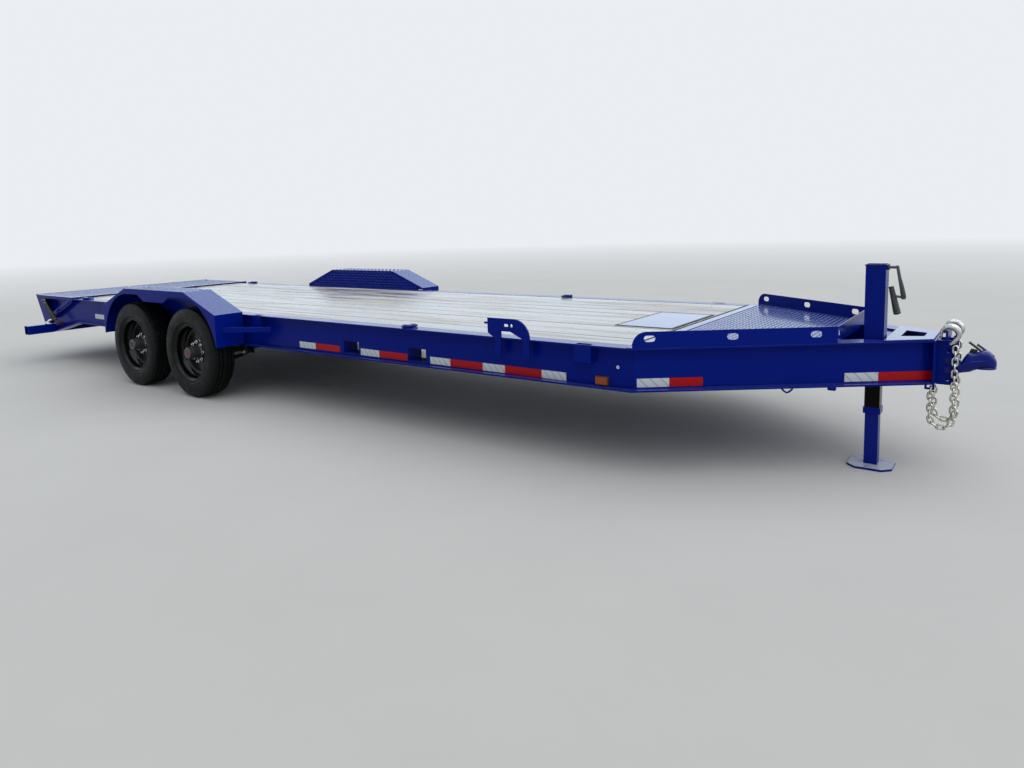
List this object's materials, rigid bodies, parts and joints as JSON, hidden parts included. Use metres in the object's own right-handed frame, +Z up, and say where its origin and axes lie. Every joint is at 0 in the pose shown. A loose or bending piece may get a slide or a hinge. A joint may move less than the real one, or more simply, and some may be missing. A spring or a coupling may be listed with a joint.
{
  "type": "equipment trailer",
  "caption": "Flat wood-deck equipment trailer with tandem axles, drive-over fenders, flip-over rear ramps, front tray, drop-leg jack and ball coupler.",
  "frame": {"origin": "centre of the bounding box's base: midway between the ramps' rear edge and the coupler's tip, on the centre line, on the ground under the tyres", "axes": "+X forward to the coupler, +Y to the trailer's left, +Z up"},
  "size_m": [9.05, 2.591, 1.092],
  "materials": {
    "blue_paint": "royal blue powder coat, glossy",
    "black_paint": "black enamel",
    "deck_wood": "wet grey sawn planks",
    "tyre": "black rubber",
    "zinc_steel": "bright zinc plating",
    "grey_metal": "grey cast metal",
    "red_lens": "red lens",
    "amber_lens": "amber lens"
  },
  "bodies": {
    "frame": {"amber_markers": "amber_lens", "axle_front": "black_paint", "axle_rear": "black_paint", "bumper": "blue_paint", "chain_anchors": "blue_paint", "chain_hooks": "zinc_steel", "coupler": "blue_paint", "coupler_latch": "blue_paint", "cross_beams": "blue_paint", "crossmembers": "blue_paint", "deck_boards": "deck_wood", "dovetail": "blue_paint", "fender_left": "blue_paint", "fender_right": "blue_paint", "fork_pockets": "blue_paint", "front_tray": "blue_paint", "guard_bars": "blue_paint", "hook_tab": "blue_paint", "jack_crank": "grey_metal", "jack_tube": "blue_paint", "leaf_springs": "black_paint", "neck_beams": "blue_paint", "nose_frame": "blue_paint", "nose_top_plate": "blue_paint", "rail_bottom_flanges": "blue_paint", "rail_top_flanges": "blue_paint", "rail_webs": "blue_paint", "ramp_hinges": "blue_paint", "ramp_springs": "black_paint", "red_markers": "red_lens", "safety_chains": "zinc_steel", "spare_mount": "blue_paint", "spring_hangers": "black_paint", "stake_pockets": "blue_paint", "tail_lamps": "red_lens", "tie_rings": "zinc_steel", "winch_plate": "blue_paint"},
    "wheel_front_right": {"tyre_front_right": "tyre", "rim_front_right": "black_paint", "hub_front_right": "grey_metal"},
    "wheel_front_left": {"tyre_front_left": "tyre", "rim_front_left": "black_paint", "hub_front_left": "grey_metal"},
    "wheel_rear_right": {"tyre_rear_right": "tyre", "rim_rear_right": "black_paint", "hub_rear_right": "grey_metal"},
    "wheel_rear_left": {"tyre_rear_left": "tyre", "rim_rear_left": "black_paint", "hub_rear_left": "grey_metal"},
    "ramp_right": {"ramp_right": "blue_paint"},
    "ramp_left": {"ramp_left": "blue_paint"},
    "jack_leg": {"jack_leg": "blue_paint"}
  },
  "joints": [
    {"name": "roll_front_right", "type": "hinge", "parent": "frame", "child": "wheel_front_right", "pos_m": [-0.933, -1.174, 0.377], "axis": [0, 1, 0], "continuous": true},
    {"name": "roll_front_left", "type": "hinge", "parent": "frame", "child": "wheel_front_left", "pos_m": [-0.933, 1.174, 0.377], "axis": [0, 1, 0], "continuous": true},
    {"name": "roll_rear_right", "type": "hinge", "parent": "frame", "child": "wheel_rear_right", "pos_m": [-1.857, -1.174, 0.377], "axis": [0, 1, 0], "continuous": true},
    {"name": "roll_rear_left", "type": "hinge", "parent": "frame", "child": "wheel_rear_left", "pos_m": [-1.857, 1.174, 0.377], "axis": [0, 1, 0], "continuous": true},
    {"name": "ramp_right_fold", "type": "hinge", "parent": "frame", "child": "ramp_right", "pos_m": [-4.34, -0.53, 0.4], "axis": [0, -1, 0], "range_deg": [0, 186]},
    {"name": "ramp_left_fold", "type": "hinge", "parent": "frame", "child": "ramp_left", "pos_m": [-4.34, 0.53, 0.4], "axis": [0, -1, 0], "range_deg": [0, 186]},
    {"name": "jack_slide", "type": "slide", "parent": "frame", "child": "jack_leg", "axis": [0, 0, 1], "range_m": [-0.08, 0.27]}
  ]
}
